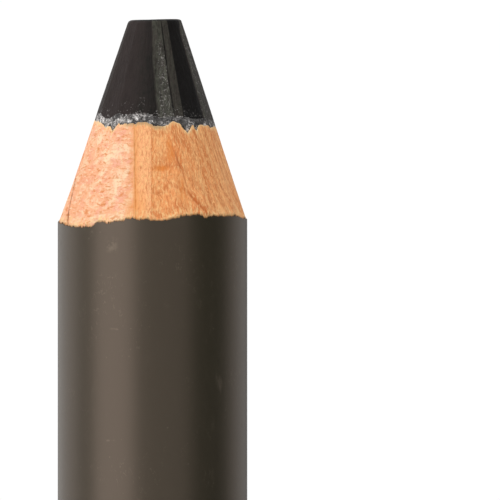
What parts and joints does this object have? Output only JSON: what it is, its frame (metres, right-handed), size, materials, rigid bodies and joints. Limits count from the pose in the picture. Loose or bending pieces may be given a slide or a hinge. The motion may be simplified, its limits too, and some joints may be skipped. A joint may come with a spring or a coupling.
{
  "type": "eyeshadow pencil",
  "caption": "Thick wooden eyeshadow pencil, sharpened, standing on its dipped tail: a worn black pigment core glued between two slats under satin lacquer.",
  "frame": {"origin": "centre of the tail face, on the barrel's axis, where the pencil stands", "axes": "+Z along the barrel towards the sharpened tip, -Y towards the side that the picture shows, +X to the picture's right"},
  "size_m": [0.0116, 0.0116, 0.125],
  "materials": {
    "pigment": "waxy pressed pigment, satin where the blade cut it",
    "bond": "dry glue, mottled with pigment",
    "pale_wood": "bare cut wood, pale, with short cross flecks",
    "tan_wood": "bare cut wood, tan, with fine upright grain",
    "seam_glue": "thin brown glue line",
    "lacquer": "satin dark taupe lacquer",
    "dip": "satin dark taupe dip, a little smoother than the barrel"
  },
  "bodies": {
    "root": {"core": "pigment", "core_bond": "bond", "slat_left": "pale_wood", "slat_right": "tan_wood", "seam_bond_front": "seam_glue", "seam_bond_back": "seam_glue", "lacquer_coat": "lacquer", "tail_dip": "dip"}
  },
  "joints": []
}
